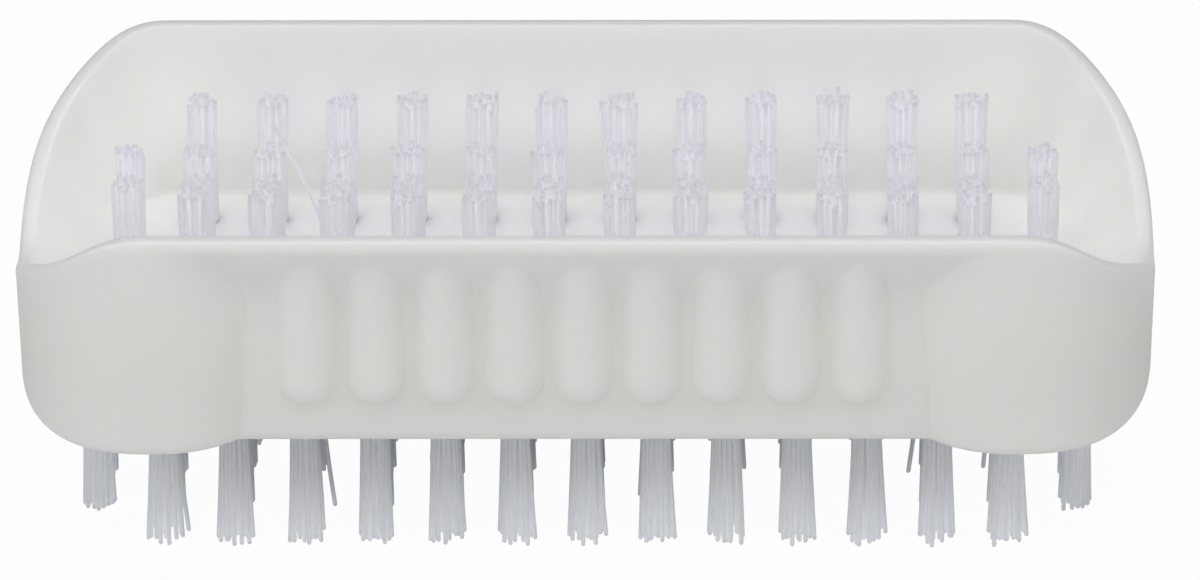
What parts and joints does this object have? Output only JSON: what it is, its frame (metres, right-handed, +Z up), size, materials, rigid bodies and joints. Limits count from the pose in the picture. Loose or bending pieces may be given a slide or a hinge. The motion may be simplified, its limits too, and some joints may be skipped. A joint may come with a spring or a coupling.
{
  "type": "nail brush",
  "caption": "Two-sided moulded nail brush with raised wings, ribbed grip faces and tufts of bristle above and below.",
  "frame": {"origin": "middle of the brush on the plane of the lower bristle tips", "axes": "+X along the brush, +Y across it towards the back wing, +Z up through the upper bristles"},
  "size_m": [0.1174, 0.0518, 0.0421],
  "materials": {
    "block": "smooth moulded white plastic with a soft gloss",
    "bristle": "clear-white nylon filament with a faint blue cast",
    "anchor_wire": "flat drawn wire"
  },
  "bodies": {
    "root": {"handle_block": "block", "upper_tufts_front": "bristle", "upper_tufts_mid_front": "bristle", "upper_tufts_mid_back": "bristle", "upper_tufts_back": "bristle", "lower_tufts_front": "bristle", "lower_tufts_mid_front": "bristle", "lower_tufts_mid_back": "bristle", "lower_tufts_back": "bristle", "upper_anchors_front": "anchor_wire", "upper_anchors_mid_front": "anchor_wire", "upper_anchors_mid_back": "anchor_wire", "upper_anchors_back": "anchor_wire", "lower_anchors_front": "anchor_wire", "lower_anchors_mid_front": "anchor_wire", "lower_anchors_mid_back": "anchor_wire", "lower_anchors_back": "anchor_wire"}
  },
  "joints": []
}
